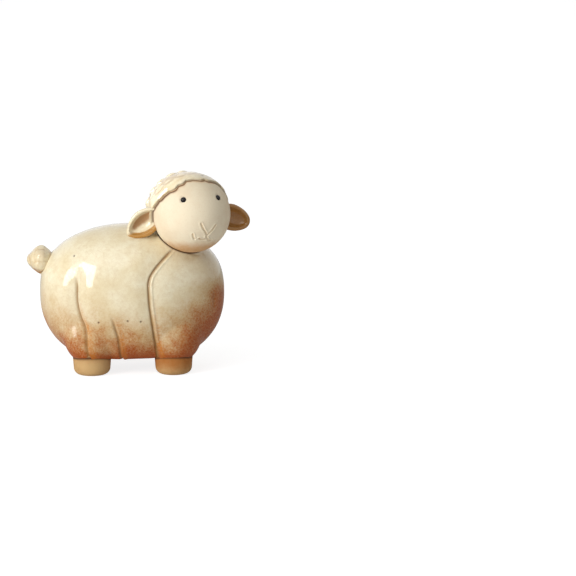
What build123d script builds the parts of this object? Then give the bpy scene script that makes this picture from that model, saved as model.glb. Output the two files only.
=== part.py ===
"""A glazed pottery sheep that stands on four stub feet and looks round to its right.

Lengths are in millimetres and angles in degrees.  The sheep faces +X, its left is +Y and +Z is up.
Values whose names end in share are plain ratios of the size that they follow.
"""

from build123d import *

from math import asin, cos, degrees, floor, hypot, pi, radians, sin, sqrt, tan
import os

# Body: a hollow egg with a flat belly
body_length = 100.0
body_width = 64.0
back_height = 79.7
waist_height = 44.9
belly_height = 8.3
belly_cut = 4.4
body_wall = 4.0
belly_vent_radius = 4.0
back_power_share = 2.2
belly_power_share = 2.5

# Haunches and shoulders: the four places where the body swells out over a foot
haunch_forward = 22.0
haunch_aside = 14.0
haunch_above_belly = 12.7
haunch_half_length = 15.0
haunch_half_width = 13.0
haunch_half_height = 16.0

# Feet: four stubs, one under each swelling
foot_sole_length = 19.8
foot_sole_width = 18.6
foot_top_length = 21.4
foot_top_width = 19.6
foot_let_in = 5.7
foot_edge_radius = 3.8

# Head: a wool-covered shell, round about the way that it looks
face_behind_chest = 17.8
face_aside = 15.2
face_above_back = 7.6
head_turn = 71.6
wool_radius = 21.7
wool_middle_behind = 5.0
wool_depth = 28.0
head_wall = 4.0
neck_vent_radius = 6.0

# Face: a domed mask, set inside a tilted hairline
face_radius = 20.8
face_wall = 3.6
hairline_behind = 4.0
hairline_tilt = 17.5

# Eyes: round beads pressed into the face
eye_radius = 1.6
eye_sunk = 0.9
eye_out_angle = 33.5
eye_up_angle = 30.0

# Ears: cupped leaves that hang from the sides of the head
ear_reach = 12.0
ear_half_height = 7.2
ear_half_depth = 5.0
ear_rim = 2.2
ear_back_wall = 1.9
ear_opening_forward = 1.2
ear_out_of_wool = 2.7
ear_behind = 5.2
ear_below = 4.0
left_ear_droop = 20.0
left_ear_sweep = 7.0
right_ear_droop = 40.0
right_ear_sweep = 28.0

# Wool curls: round knobs on the head
curl_radius = 3.0
curl_sunk = 1.5
curl_gap = 0.3
curl_behind_hairline = 0.2
curl_above_back = 1.0

# Tail: a knot of wool on the rump
tail_out_of_rump = 3.15
tail_height = 60.6
tail_core_depth = 5.6
tail_core_half_width = 6.4
tail_core_half_height = 5.6
tail_knob_radius = 3.3
tail_knob_share = 0.8

# How far a cutting block or drill runs past what it cuts
overrun = 60.0

# Counts: level outlines of the body, rings of curls, knobs of the tail
lower_levels = 6
upper_levels = 9
crown_rings = 2
back_rings = 3
tail_knobs = 6


def level_share(height_share, power_share):
    """Half-size of a level outline, as a share of the waist's, at a share of the full height."""
    return (1 - height_share**power_share) ** (1 / power_share)


def egg(inset):
    """The body's main form, or with an inset its cavity: level ovals lofted from belly to back."""
    half_length = body_length / 2 - inset
    half_width = body_width / 2 - inset
    rise = back_height - waist_height - inset
    depth = waist_height - belly_height + belly_cut - inset
    belly_angle = degrees(asin((waist_height - belly_height - inset) / depth))
    levels = []
    for step in range(lower_levels + 1):
        share = sin(radians(belly_angle * (1 - step / lower_levels)))
        levels.append((waist_height - depth * share, level_share(share, belly_power_share)))
    for step in range(1, upper_levels):
        share = sin(radians(90 * step / upper_levels))
        levels.append((waist_height + rise * share, level_share(share, back_power_share)))
    ovals = [
        Pos(0, 0, height) * Ellipse(half_length * share, half_width * share)
        for height, share in levels
    ]
    return loft([*ovals, Vertex(0, 0, waist_height + rise)])


def ellipsoid(half_length, half_width, half_height):
    """An ellipsoid about the origin."""
    return scale(Rot(0, 90, 0) * Sphere(1), by=(half_length, half_width, half_height))


def corners():
    """The four places of the feet: name, and on which side of the middle each stands."""
    return [
        ("front_left", 1, 1),
        ("front_right", 1, -1),
        ("rear_left", -1, 1),
        ("rear_right", -1, -1),
    ]


def body_form():
    """The whole outside of the body as one solid."""
    form = egg(0)
    above_belly = Pos(0, 0, belly_height + overrun) * Box(4 * overrun, 4 * overrun, 2 * overrun)
    for _, forward, left in corners():
        swelling = ellipsoid(haunch_half_length, haunch_half_width, haunch_half_height)
        height = belly_height + haunch_above_belly
        place = Pos(forward * haunch_forward, left * haunch_aside, height)
        form += place * swelling & above_belly
    return form


def back_surface(forward, left):
    """Height of the body's upper surface at a point, or None beside the body."""
    reach = hypot(2 * forward / body_length, 2 * left / body_width)
    if reach >= 1:
        return None
    return waist_height + (back_height - waist_height) * level_share(reach, back_power_share)


def head_place():
    """The head's own frame: its origin is the middle of the face, +X the way that it looks."""
    forward = body_length / 2 - face_behind_chest
    return Pos(forward, -face_aside, back_height + face_above_back) * Rot(0, 0, -head_turn)


def before_hairline():
    """A block that holds all that lies in front of the tilted plane where the wool stops."""
    block = Pos(overrun / 2, 0, 0) * Box(overrun, 2 * overrun, 2 * overrun)
    return Pos(-hairline_behind, 0, 0) * Rot(0, hairline_tilt, 0) * block


def wool_form(inset):
    """The woolly part of the head, in the head's own frame, or with an inset its hollow."""
    whole = ellipsoid(wool_depth - inset, wool_radius - inset, wool_radius - inset)
    return Pos(-wool_middle_behind, 0, 0) * whole


def woolly_part():
    """The wool as far as the hairline, as one solid."""
    return wool_form(0) - before_hairline()


def face_form(inset):
    """The face as one solid, in the head's own frame, or with an inset its hollow."""
    return Sphere(face_radius - inset) & before_hairline()


def body_shell(body):
    """The body, hollow, with a vent in the belly and a seat that the head is let into."""
    vent = Pos(0, 0, belly_height) * Cylinder(belly_vent_radius, 4 * body_wall)
    shell = body - egg(body_wall) - vent
    return shell - [head_place() * woolly_part(), head_place() * face_form(0)]


def head_shell():
    """The hollow wool head, open in front for the face and below into the body."""
    vent = Pos(-wool_middle_behind, 0, -wool_radius) * Cylinder(neck_vent_radius, 4 * head_wall)
    return head_place() * (woolly_part() - wool_form(head_wall) - vent)


def eye_bead(side):
    """One eye in the head's own frame, half sunk; side is 1 on the sheep's left, -1 on its right."""
    out = radians(eye_out_angle)
    up = radians(eye_up_angle)
    reach = face_radius - eye_sunk
    outward = Vector(cos(up) * cos(out), side * cos(up) * sin(out), sin(up))
    return Plane(outward * reach, z_dir=outward) * Sphere(eye_radius)


def face_mask():
    """The bare domed face, with a socket for each eye."""
    mask = face_form(0) - face_form(face_wall) - eye_bead(1) - eye_bead(-1)
    return head_place() * mask


def ear_hang(side):
    """How far the ear on this side droops and is swept back."""
    if side > 0:
        return left_ear_droop, left_ear_sweep
    return right_ear_droop, right_ear_sweep


def ear(side, body):
    """A cupped leaf that opens forward, fitted to the head and clear of the body."""
    droop, sweep = ear_hang(side)
    leaf = ellipsoid(ear_half_depth, ear_reach, ear_half_height)
    hollow = ellipsoid(
        ear_half_depth + ear_opening_forward - ear_back_wall,
        ear_reach - ear_rim,
        ear_half_height - ear_rim,
    )
    front = Pos(ear_opening_forward + overrun / 2, 0, 0) * Box(overrun, overrun, overrun)
    cup = leaf - front - Pos(ear_opening_forward, 0, 0) * hollow
    hung = Rot(-side * droop, 0, 0) * cup
    swept = Rot(0, 0, side * sweep) * hung
    placed = Pos(-ear_behind, side * (wool_radius + ear_out_of_wool), -ear_below) * swept
    return head_place() * (placed - [woolly_part(), face_form(0)]) - body


def wool_point(from_front, round_axis):
    """A point on the wool, by its angle from the hairline's axis and its angle round that axis."""
    tilt = radians(hairline_tilt)
    off = radians(from_front)
    turn = radians(round_axis)
    along = cos(off) * cos(tilt) + sin(off) * cos(turn) * sin(tilt)
    left = sin(off) * sin(turn)
    up = sin(off) * cos(turn) * cos(tilt) - cos(off) * sin(tilt)
    reach = 1 / sqrt((along / wool_depth) ** 2 + (left**2 + up**2) / wool_radius**2)
    return Vector(reach * along - wool_middle_behind, reach * left, reach * up)


def curl_stands_free(point):
    """Whether a curl at this point of the wool is clear of the body and of both ears."""
    spot = (head_place() * Pos(point)).position
    back = back_surface(spot.X, spot.Y)
    if back is not None and spot.Z - back < curl_radius + curl_above_back:
        return False
    droop, sweep = ear_hang(point.Y)
    behind_root = point.X + ear_behind - ear_out_of_wool * tan(radians(sweep))
    above_root = point.Z + ear_below - ear_out_of_wool * tan(radians(droop))
    from_ear = hypot(
        behind_root / (ear_half_depth + curl_radius), above_root / (ear_half_height + curl_radius)
    )
    return from_ear > 1


def curls(first_ring, rings):
    """Rings of knobs round the head, the first just behind the hairline, each a separate lump."""
    middle_behind = (wool_middle_behind - hairline_behind) * cos(radians(hairline_tilt))
    behind = curl_radius + curl_behind_hairline - middle_behind
    fringe_angle = 90 + degrees(asin(behind / wool_radius))
    spacing = 2 * curl_radius + curl_gap
    ring_step = degrees(spacing / wool_radius)
    knobs = []
    for ring in range(first_ring, first_ring + rings):
        from_front = fringe_angle + ring * ring_step
        count = floor(2 * pi * wool_radius * sin(radians(from_front)) / spacing)
        for number in range(count):
            point = wool_point(from_front, 360 * (number + ring / 2) / count)
            outward = (point + Vector(wool_middle_behind, 0, 0)).normalized()
            if curl_stands_free(point):
                seat = Plane(point - outward * curl_sunk, z_dir=outward)
                knobs.append(seat * Sphere(curl_radius) - wool_form(0))
    return head_place() * Compound(knobs)


def tail(body):
    """A knot of wool: a core with knobs round it and behind it, fitted to the rump."""
    up_the_back = (tail_height - waist_height) / (back_height - waist_height)
    rump = body_length / 2 * level_share(up_the_back, back_power_share)
    knot = ellipsoid(tail_core_depth, tail_core_half_width, tail_core_half_height)
    width = tail_core_half_width * tail_knob_share
    height = tail_core_half_height * tail_knob_share
    hindmost = Vector(-tail_core_depth * tail_knob_share, 0, 0)
    spots = []
    for number in range(tail_knobs):
        turn = 2 * pi * number / tail_knobs
        beside = Vector(0, width * sin(turn), height * cos(turn))
        spots.append(beside)
        if number % 2:
            spots.append((hindmost + beside) / 2)
    for spot in [*spots, hindmost]:
        knot += Plane(spot, z_dir=spot) * Sphere(tail_knob_radius)
    return Pos(-rump - tail_out_of_rump, 0, tail_height) * knot - body


def foot(forward, left, body):
    """A stub with a flat sole and a rounded edge, fitted under its swelling of the body."""
    sole = Ellipse(foot_sole_length / 2, foot_sole_width / 2)
    top = Pos(0, 0, belly_height + foot_let_in) * Ellipse(foot_top_length / 2, foot_top_width / 2)
    stub = loft([sole, top])
    stub = fillet(stub.edges().group_by(Axis.Z)[0], foot_edge_radius)
    return Pos(forward * haunch_forward, left * haunch_aside, 0) * stub - body


def sheep():
    """Every piece by name, standing on the origin's level."""
    body = body_form()
    pieces = {
        "body_shell": body_shell(body),
        "head_shell": head_shell(),
        "face_mask": face_mask(),
        "left_eye": head_place() * eye_bead(1),
        "right_eye": head_place() * eye_bead(-1),
        "left_ear": ear(1, body),
        "right_ear": ear(-1, body),
        "fringe_curls": curls(0, 1),
        "crown_curls": curls(1, crown_rings),
        "back_curls": curls(1 + crown_rings, back_rings),
        "tail": tail(body),
    }
    for name, forward, left in corners():
        pieces[name + "_foot"] = foot(forward, left, body)
    return pieces


def main():
    """Centre the sheep over the origin and write one file for each piece."""
    pieces = sheep()
    middle = Compound(list(pieces.values())).bounding_box().center()
    os.makedirs("parts", exist_ok=True)
    for name, piece in pieces.items():
        export_step(Pos(-middle.X, -middle.Y, 0) * piece, f"parts/{name}.step")
    print("moved by", round(-middle.X, 3), round(-middle.Y, 3))


main()
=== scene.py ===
# %% [markdown]
# # A glazed pottery sheep
# The figurine is slip-cast pottery: a hollow egg of a body on four stub feet, with a round head
# turned to the sheep's right.  All of it but the face and the feet is dipped in a cream crackle
# glaze.  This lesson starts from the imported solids, which say where each piece is and how big, and
# gives each a modelled skin and a finish.

import random
from math import atan2, cos, degrees, exp, hypot, inf, pi, radians, sin, sqrt

import bmesh
import bpy
from mathutils import Matrix, Vector, kdtree, noise


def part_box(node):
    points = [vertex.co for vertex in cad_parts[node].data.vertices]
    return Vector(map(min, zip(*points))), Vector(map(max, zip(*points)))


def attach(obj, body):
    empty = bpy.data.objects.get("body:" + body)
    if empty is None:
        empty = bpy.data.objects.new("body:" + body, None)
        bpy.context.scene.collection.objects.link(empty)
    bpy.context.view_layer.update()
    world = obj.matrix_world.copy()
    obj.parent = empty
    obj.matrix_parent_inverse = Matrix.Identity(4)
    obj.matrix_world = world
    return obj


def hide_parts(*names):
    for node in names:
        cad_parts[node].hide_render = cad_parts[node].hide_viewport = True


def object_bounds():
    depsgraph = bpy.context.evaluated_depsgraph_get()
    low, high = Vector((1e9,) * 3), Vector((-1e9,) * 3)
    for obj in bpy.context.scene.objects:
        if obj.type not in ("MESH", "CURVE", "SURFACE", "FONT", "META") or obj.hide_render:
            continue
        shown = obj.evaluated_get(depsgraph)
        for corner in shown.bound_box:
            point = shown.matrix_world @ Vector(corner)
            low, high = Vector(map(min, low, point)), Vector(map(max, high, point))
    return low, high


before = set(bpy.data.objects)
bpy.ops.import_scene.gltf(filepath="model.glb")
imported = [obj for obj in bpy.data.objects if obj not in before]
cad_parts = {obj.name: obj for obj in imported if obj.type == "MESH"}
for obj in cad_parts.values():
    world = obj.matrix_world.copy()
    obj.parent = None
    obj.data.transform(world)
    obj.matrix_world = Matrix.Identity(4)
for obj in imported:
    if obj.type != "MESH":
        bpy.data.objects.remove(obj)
CAD_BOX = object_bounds()
MM = 0.001
print("solids to dress:", len(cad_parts))

# %% [markdown]
# ## Sizes
# Everything is in metres, so a size given in millimetres is written with MM.  The solids' boxes
# give the places.  The head looks square to the line through both eyes.  The face is a ball, the
# wool behind it a longer one.

# %% Read the sizes off the solids


def middle_of(node):
    """The middle of a solid's box."""
    low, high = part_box(node)
    return (low + high) / 2


def add_object(name, data):
    """Puts a camera, a lamp or a mesh into the scene."""
    added = bpy.data.objects.new(name, data)
    bpy.context.scene.collection.objects.link(added)
    return added


BODY_LOW, BODY_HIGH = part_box("body_shell")
HALF_LENGTH, HALF_WIDTH = ((BODY_HIGH - BODY_LOW) / 2).xy
WAIST_HEIGHT = 44.9 * MM
BACK_RISE = BODY_HIGH.z - WAIST_HEIGHT
BELLY_HEIGHT = BODY_LOW.z
BELLY_CUT = 4.4 * MM
BELLY_DEPTH = WAIST_HEIGHT - BELLY_HEIGHT + BELLY_CUT
BODY_MIDDLE = Vector((*middle_of("body_shell").xy, WAIST_HEIGHT))

FACE_RADIUS = 20.8 * MM
EYE_SUNK = 0.9 * MM
EYE_OUT = radians(33.5)
EYE_UP = radians(30)
LEFT_EYE, RIGHT_EYE = middle_of("left_eye"), middle_of("right_eye")
HEAD_LEFT = (LEFT_EYE - RIGHT_EYE).normalized()
HEAD_FORWARD = Vector((HEAD_LEFT.y, -HEAD_LEFT.x, 0))
HEAD_UP = Vector((0, 0, 1))
EYE_REACH = FACE_RADIUS - EYE_SUNK
FACE_MIDDLE = (
    (LEFT_EYE + RIGHT_EYE) / 2
    - HEAD_FORWARD * EYE_REACH * cos(EYE_UP) * cos(EYE_OUT)
    - HEAD_UP * EYE_REACH * sin(EYE_UP)
)
HEAD_PLACE = Matrix((HEAD_FORWARD, HEAD_LEFT, HEAD_UP)).transposed().to_4x4()
HEAD_PLACE.translation = FACE_MIDDLE
HEAD_INVERSE = HEAD_PLACE.inverted()

WOOL_RADIUS = 21.7 * MM
WOOL_DEPTH = 28 * MM
WOOL_MIDDLE = Vector((-5 * MM, 0, 0))
WOOL_HALVES = (WOOL_DEPTH, WOOL_RADIUS, WOOL_RADIUS)
HAIRLINE_TILT = radians(17.5)
HAIRLINE_SPOT = Vector((-4 * MM, 0, 0))
HAIRLINE_WAY = Vector((cos(HAIRLINE_TILT), 0, -sin(HAIRLINE_TILT)))
HAIRLINE_UP = Vector((sin(HAIRLINE_TILT), 0, cos(HAIRLINE_TILT)))
print("face middle at", FACE_MIDDLE)

# %% [markdown]
# ## Camera
# The picture was taken from a little above, along the sheep's left-right line, and the sheep
# stands in its left half.  So the camera stands square to the sheep and aims past it.

# %% Place the camera
PICTURE_SIDE = 576
SHEEP_PIXEL = (139.2, 267.6)
PIXEL_SIZE = 0.543 * MM
CAMERA_DISTANCE = 1500 * MM
CAMERA_RAISED = radians(10)

camera_right = Vector((1, 0, 0))
camera_way = Vector((0, cos(CAMERA_RAISED), -sin(CAMERA_RAISED)))
camera_up = camera_right.cross(camera_way)
sheep_middle = (CAD_BOX[0] + CAD_BOX[1]) / 2
aim = (
    sheep_middle
    + camera_right * (PICTURE_SIDE / 2 - SHEEP_PIXEL[0]) * PIXEL_SIZE
    + camera_up * (SHEEP_PIXEL[1] - PICTURE_SIDE / 2) * PIXEL_SIZE
)
camera_data = bpy.data.cameras.new("camera")
camera_data.angle = 2 * atan2(PICTURE_SIDE * PIXEL_SIZE / 2, CAMERA_DISTANCE)
camera = add_object("camera", camera_data)
camera.location = sheep_middle - camera_way * CAMERA_DISTANCE
camera.rotation_euler = (aim - camera.location).to_track_quat("-Z", "Y").to_euler()
bpy.context.scene.camera = camera
bpy.context.scene.view_settings.view_transform = "Standard"
print("camera at", camera.location)

# %% [markdown]
# ## Node sums
# A procedural finish is a sum: so much brown where the skin is low, so much where the noise is
# high.  So a small class wraps a node socket and lays a Math node for each plus, minus and times.
# Every other node comes from its one method `node`.

# %% A socket that can be used in sums


def plug(node, inputs):
    """Sets some of a node's inputs, each to a value or to the wire that leads there."""
    for name, value in inputs.items():
        if isinstance(value, Wire):
            value.tree.links.new(value.socket, node.inputs[name])
        else:
            node.inputs[name].default_value = value


class Wire:
    """One socket of a node tree, which can be added, multiplied and mixed."""

    def __init__(self, tree, socket=None):
        self.tree = tree
        self.socket = socket

    def node(self, kind, inputs={}, output=0, **settings):
        """Lays a node with its settings and inputs, and gives one of its outputs."""
        made = self.tree.nodes.new(kind)
        for name, value in settings.items():
            setattr(made, name, value)
        plug(made, inputs)
        return Wire(self.tree, made.outputs[output])

    def sum(self, operation, first, second):
        return self.node("ShaderNodeMath", {0: first, 1: second}, operation=operation)

    def __add__(self, other):
        return self.sum("ADD", self, other)

    __radd__ = __add__

    def __sub__(self, other):
        return self.sum("SUBTRACT", self, other)

    def __rsub__(self, other):
        return self.sum("SUBTRACT", other, self)

    def __mul__(self, other):
        return self.sum("MULTIPLY", self, other)

    def larger(self, other):
        return self.sum("MAXIMUM", self, other)

    def between(self, none, full):
        """0 where the value is at none, 1 where it is at full, and a smooth step between."""
        inputs = {"Value": self, "From Min": none, "From Max": full}
        return self.node("ShaderNodeMapRange", inputs, interpolation_type="SMOOTHSTEP")

    def mix(self, first, second):
        """The first colour where the value is 0, the second where it is 1."""
        colours = {0: self, 6: first, 7: second}
        return self.node("ShaderNodeMix", colours, output=2, data_type="RGBA")

    def bump(self, height, strength):
        """Relief for a shader's Normal, as high as the value tells."""
        inputs = {"Height": self, "Distance": height, "Strength": strength}
        return self.node("ShaderNodeBump", inputs)


def blank_material(name):
    """A new material, its shader node, and a wire to start sums from."""
    material = bpy.data.materials.new(name)
    material.use_nodes = True
    shader = material.node_tree.nodes["Principled BSDF"]
    return material, shader, Wire(material.node_tree)


# %% [markdown]
# ## Patterns that the finishes share
# Noise is read in object coordinates, which are metres, so the patches' sizes are metres too.  A
# piece's own attributes say where a fold, a seam or a recess is.

# %% Noise, cracks and attributes


def place_on(start):
    return start.node("ShaderNodeTexCoord", output="Object")


def patches(start, size, detail=3.0, rough=0.55):
    """Noise with patches of one size, mostly between 0.3 and 0.7."""
    inputs = {"Vector": place_on(start), "Scale": 1 / size, "Detail": detail, "Roughness": rough}
    return start.node("ShaderNodeTexNoise", inputs)


def cracks(start, cell, width):
    """1 along the fine lines of a crazed glaze, 0 in the cells between them."""
    wobble = patches(start, 3 * cell, 2.0)
    places = {0: place_on(start), 1: wobble * cell * 0.8}
    place = start.node("ShaderNodeVectorMath", places, operation="ADD")
    inputs = {"Vector": place, "Scale": 1 / cell}
    edge = start.node("ShaderNodeTexVoronoi", inputs, feature="DISTANCE_TO_EDGE")
    return edge.between(width / cell, 0)


def told(start, name):
    """A number that the piece's mesh carries at each of its points."""
    return start.node("ShaderNodeAttribute", output="Fac", attribute_name=name)


def heights(start):
    return start.node("ShaderNodeSeparateXYZ", {0: place_on(start)}, output="Z")


# %% [markdown]
# ## What every glaze shares
# A clear coat over a duller base gives the wet shine with its sharp highlights.  The cream is
# cloudy in large patches, grainy in small ones, and crazed into small cells, as a glaze is that
# shrinks more than its clay.

# %% Mix what the glazes share
PALE_CREAM = (0.84, 0.76, 0.55, 1)
CREAM = (0.77, 0.66, 0.43, 1)
TAN = (0.56, 0.37, 0.15, 1)
OCHRE = (0.30, 0.155, 0.045, 1)
DARK_BROWN = (0.09, 0.032, 0.012, 1)
COAT_ROUGHNESS = 0.05
COAT_IOR = 1.44
UNDER_COAT_GLOSS = 0.1
CLOUD_SIZE = 14 * MM
GRAIN_SIZE = 2.4 * MM
CRACK_CELL = 2.2 * MM
CRACK_WIDTH = 0.10 * MM
GLAZE_RELIEF = 0.1 * MM


def glaze_shader(name):
    """A material with the glaze's wet shine, whose colour is still to come."""
    material, shader, start = blank_material(name)
    plug(shader, {"Coat Weight": 1, "Coat Roughness": COAT_ROUGHNESS, "Coat IOR": COAT_IOR})
    plug(shader, {"Specular IOR Level": UNDER_COAT_GLOSS})
    return material, shader, start


def glaze_surface(shader, colour, dullness, relief):
    """Gives a glaze its colour, its base's roughness and its fine relief."""
    normal = relief.bump(GLAZE_RELIEF, 0.5)
    plug(shader, {"Base Color": colour, "Roughness": dullness, "Normal": normal})


def mottled_cream(start):
    """The cream of all glazed pieces, with its patches and fine grain."""
    cloudy = patches(start, CLOUD_SIZE, 4.0).between(0.36, 0.66)
    grainy = patches(start, GRAIN_SIZE, 5.0, 0.65).between(0.35, 0.75)
    cream = cloudy.mix(PALE_CREAM, CREAM)
    return (grainy * 0.24).mix(cream, TAN)


def crazed(start, colour, share):
    """The colour with the glaze's fine cracks drawn in, at the share given."""
    return (cracks(start, CRACK_CELL, CRACK_WIDTH) * share).mix(colour, TAN)


# %% [markdown]
# ## The body's glaze
# Low on the body the kiln has flashed the cream a speckled rusty brown, most of all at the chest,
# where the raised brown is partly kiln flashing and partly painted shade.
# The colour is built up in bands, each starting lower than the last, and noise added to the
# height makes their edges ragged.  The glaze is thin and dry where it is flashed, so its clear
# coat fades there.  Where it runs into a fold or against the head it pools dark.

# %% Mix the body's glaze
PINK_TAN = (0.50, 0.24, 0.075, 1)
RUST = (0.36, 0.068, 0.004, 1)
ORANGE = (0.62, 0.22, 0.03, 1)
BROAD_SIZE, BROAD_RISE = 22 * MM, 30 * MM
BLOTCH_SIZE, BLOTCH_RISE = 6 * MM, 26 * MM
FLASH_SIZE, FLASH_RISE = 12 * MM, 56 * MM
SPECKLE_SIZE = 1.0 * MM
TAN_BAND = (54 * MM, 14 * MM)
FLASH_BAND = (42 * MM, 14 * MM)
BURNT_BAND = (28 * MM, 9 * MM)
EDGE_BAND = (15 * MM, 9 * MM)
STREAK_BAND = (46 * MM, 22 * MM)

CREAM_GLAZE, shader, start = glaze_shader("cream_glaze")
broad = patches(start, BROAD_SIZE, 3.0)
blotchy = patches(start, BLOTCH_SIZE, 5.0, 0.65)
speckle = patches(start, SPECKLE_SIZE, 4.0, 0.65).between(0.40, 0.62)
height = heights(start) + (broad - 0.5) * BROAD_RISE + (blotchy - 0.5) * BLOTCH_RISE
# the mark raises the brown bands at both ends; at the chest this is partly painted shade
height = height - told(start, "flash_and_shade") * (patches(start, FLASH_SIZE) * FLASH_RISE)
colour = mottled_cream(start)
colour = (height.between(*TAN_BAND) * 0.6).mix(colour, TAN)
flashed = height.between(*FLASH_BAND)
colour = (flashed * (speckle * 0.6 + 0.4)).mix(colour, PINK_TAN)
burnt = height.between(*BURNT_BAND)
colour = (burnt * (speckle * 0.25 + 0.75)).mix(colour, RUST)
edge = heights(start).between(*EDGE_BAND) * blotchy.between(0.35, 0.5)
colour = (edge * 0.9).mix(colour, RUST)
colour = crazed(start, colour, 0.2 + flashed * 0.2 - burnt * 0.3)
rusty = told(start, "rusty") * height.between(*STREAK_BAND)
colour = (rusty * (speckle * 0.5 + 0.3)).mix(colour, ORANGE)
colour = (told(start, "pooled") * 0.9).mix(colour, OCHRE)
colour = told(start, "seam").mix(colour, DARK_BROWN)
plug(shader, {"Coat Weight": 1 - flashed * 0.65})
glaze_surface(shader, colour, 0.3 + flashed * 0.2, blotchy)

# %% [markdown]
# ## The glazes of the head, ears and tail
# On the woolly head the same cream has ochre run into the recesses between the curls.  On the
# ears and the tail it pools amber on the lips.  The upper part of each ear's bowl is painted brown
# as painted shade, and the left ear's front is browner glaze with painted shade.  The meshes say
# where those places are, and noise breaks their edges.

# %% Mix the wool's and the ears' glazes
AMBER = (0.43, 0.19, 0.02, 1)
HOLLOW_SHADE_BROWN = (0.36, 0.155, 0.035, 1)
SMALL_BLOTCH = 4 * MM
TAN_PATCH = 9 * MM
# what tells of the pooling and painted shade, how ragged they are, where they set in, their share and
# colour
WOOL_POOLS = [("recess", 0.8, (0.15, 1.0), 0.5, OCHRE)]
AMBER_POOLS_AND_SHADE = [
    ("lip", 0.8, (0.1, 0.8), 0.95, AMBER),
    # the upper part of each ear's bowl: painted shade, in brown
    ("hollow_shade", 0.6, (0.1, 0.9), 0.85, HOLLOW_SHADE_BROWN),
]


def pooled_and_shaded_glaze(name, tan_share, pools_and_shades):
    """Cream that is tan in patches, and darker in its pools and where it is given painted shade."""
    material, shader, start = glaze_shader(name)
    blotchy = patches(start, SMALL_BLOTCH, 5.0, 0.65)
    colour = mottled_cream(start)
    colour = (patches(start, TAN_PATCH, 4.0).between(0.4, 0.7) * tan_share).mix(colour, TAN)
    for place, ragged, span, share, mark_colour in pools_and_shades:
        edge = (blotchy - 0.5) * ragged
        colour = ((told(start, place) + edge).between(*span) * share).mix(colour, mark_colour)
    colour = crazed(start, colour, 0.2)
    colour = told(start, "seam").mix(colour, DARK_BROWN)
    glaze_surface(shader, colour, 0.3 + blotchy * 0.1, blotchy)
    return material


WOOL_GLAZE = pooled_and_shaded_glaze("wool_glaze", 0.4, WOOL_POOLS)
AMBER_GLAZE = pooled_and_shaded_glaze("amber_glaze", 0, AMBER_POOLS_AND_SHADE)
print("glazes:", CREAM_GLAZE.name, WOOL_GLAZE.name, AMBER_GLAZE.name)

# %% [markdown]
# ## Bare clay and black glaze
# The face and the feet are wiped before firing, so they are matt clay with a fine grain and an
# orange tint where the glaze ends.  The face's side at the sheep's left gets painted shade in the
# same orange-brown, and the face goes darker and more orange towards the chin.  The eyes are
# drops of black glaze.

# %% Mix the clays
FACE_CLAY = (0.87, 0.76, 0.56, 1)
FACE_BLUSH_AND_SHADE = (0.62, 0.33, 0.13, 1)
FOOT_CLAY = (0.57, 0.37, 0.165, 1)
FOOT_SHADE = (0.36, 0.18, 0.06, 1)
FOOT_STAIN = (0.38, 0.115, 0.012, 1)
FACE_CLOUD_SHARE, FOOT_CLOUD_SHARE = 0.2, 0.55
CLAY_CLOUD = 16 * MM
CLAY_GRAIN = 0.7 * MM
CLAY_BLOTCH = 3.5 * MM
CLAY_RELIEF = 0.05 * MM
CLAY_GLOSS = 0.2


def bare_clay(name, clay, shade, stain_and_shade, cloud_share):
    """Matt clay, darker in patches, with stains and painted shade where the mesh tells it."""
    material, shader, start = blank_material(name)
    cloudy = patches(start, CLAY_CLOUD, 3.0).between(0.42, 0.75)
    grain = patches(start, CLAY_GRAIN, 3.0, 0.7)
    blotchy = patches(start, CLAY_BLOTCH, 4.0, 0.6)
    colour = (cloudy * cloud_share).mix(clay, shade)
    colour = (grain.between(0.5, 0.75) * 0.16).mix(colour, shade)
    # on the feet this mark is their staining; on the face it is the orange edge tint plus painted
    # shade
    blush_and_shade = told(start, "blush_and_shade") + (blotchy - 0.5) * 0.5
    colour = (blush_and_shade.between(0.15, 1.1) * 0.9).mix(colour, stain_and_shade)
    colour = told(start, "seam").mix(colour, DARK_BROWN)
    plug(shader, {"Base Color": colour, "Roughness": 0.62 + grain * 0.2})
    plug(shader, {"Specular IOR Level": CLAY_GLOSS, "Normal": grain.bump(CLAY_RELIEF, 0.6)})
    return material


FACE_FINISH = bare_clay("bare_clay", FACE_CLAY, FACE_BLUSH_AND_SHADE, FACE_BLUSH_AND_SHADE, FACE_CLOUD_SHARE)
FOOT_FINISH = bare_clay("stained_clay", FOOT_CLAY, FOOT_SHADE, FOOT_STAIN, FOOT_CLOUD_SHARE)
print("clays:", FACE_FINISH.name, FOOT_FINISH.name)

# %% Mix the black glaze
BLACK = (0.008, 0.006, 0.006, 1)
BROWN_BLACK = (0.02, 0.015, 0.012, 1)
BLACK_CLOUD = 1 * MM
BLACK_ROUGHNESS = 0.12
BLACK_GLOSS = 0.25

EYE_FINISH, shader, start = blank_material("black_glaze")
cloudy = patches(start, BLACK_CLOUD, 2.0).between(0.4, 0.7)
plug(shader, {"Base Color": cloudy.mix(BLACK, BROWN_BLACK), "Roughness": BLACK_ROUGHNESS})
plug(shader, {"Specular IOR Level": BLACK_GLOSS})

# %% [markdown]
# ## Forms as reaches
# Each big form here is star-shaped: from a point inside, every straight way out crosses the skin
# once.  So a form is a rule that gives the reach in any direction, and a fine ball takes it by
# moving each of its points out to that reach.  Two forms flow into each other when the larger of
# their reaches is taken with a soft change-over.

# %% Rules for reaches


def soft_larger(first, second, blend):
    """The larger of two lengths, rounded off over a blend where they are alike."""
    near = max(blend - abs(first - second), 0) / blend
    return max(first, second) + near * near * blend / 4


def soft_smaller(first, second, blend):
    return -soft_larger(-first, -second, blend)


def smooth_step(value, none, full):
    share = min(max((value - none) / (full - none), 0), 1)
    return share * share * (3 - 2 * share)


def hump(distance, width):
    """1 at no distance, falling off on both sides."""
    return exp(-((distance / width) ** 2))


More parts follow.
